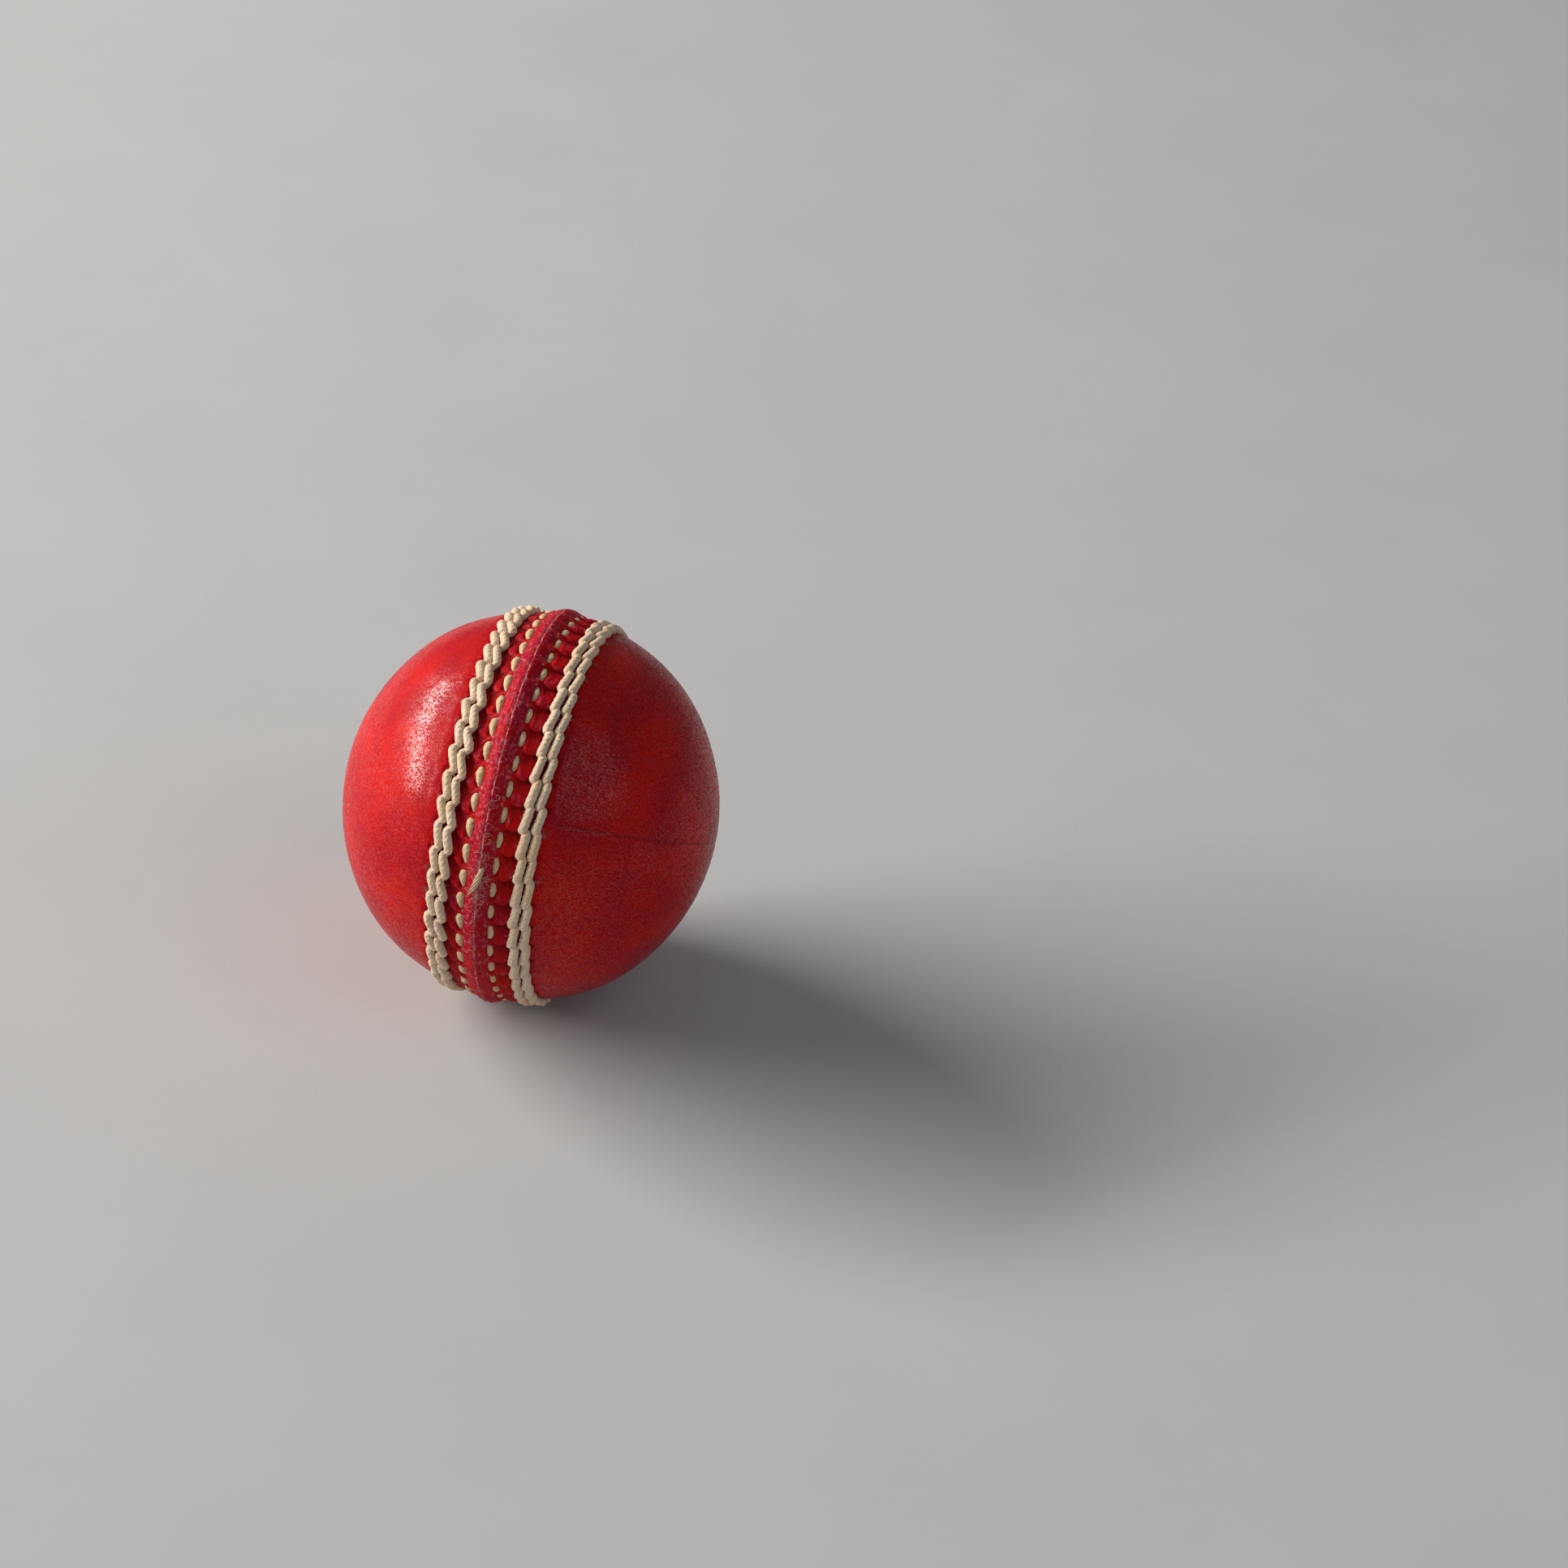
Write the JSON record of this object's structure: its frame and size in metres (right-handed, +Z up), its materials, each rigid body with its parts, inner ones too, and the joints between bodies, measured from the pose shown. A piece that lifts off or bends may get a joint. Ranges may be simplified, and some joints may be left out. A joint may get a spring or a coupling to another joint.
{
  "type": "cricket ball",
  "caption": "Hand-stitched leather cricket ball with a raised stitched seam, over a wound core of cork and yarn.",
  "frame": {"origin": "centre of the ball", "axes": "+X through both cups, at right angles to the seam; the seam lies in the YZ plane; +Z up, with the ball standing on its seam"},
  "size_m": [0.0692, 0.0738, 0.0738],
  "materials": {
    "cork": "matte",
    "yarn": "matte",
    "leather": "gloss",
    "hidden_thread": "matte",
    "seam_thread": "matte"
  },
  "bodies": {
    "root": {"cork_core": "cork", "cork_wrap_1": "cork", "cork_wrap_2": "cork", "cork_wrap_3": "cork", "cork_wrap_4": "cork", "cork_wrap_5": "cork", "inner_stitch_row_left": "seam_thread", "inner_stitch_row_right": "seam_thread", "leather_quarter_left_a": "leather", "leather_quarter_left_b": "leather", "leather_quarter_right_a": "leather", "leather_quarter_right_b": "leather", "outer_stitch_row_left": "seam_thread", "outer_stitch_row_right": "seam_thread", "primary_seam_strand_a": "seam_thread", "primary_seam_strand_b": "seam_thread", "quarter_seam_thread_left": "hidden_thread", "quarter_seam_thread_right": "hidden_thread", "yarn_winding_1": "yarn", "yarn_winding_2": "yarn", "yarn_winding_3": "yarn", "yarn_winding_4": "yarn", "yarn_winding_5": "yarn"}
  },
  "joints": []
}
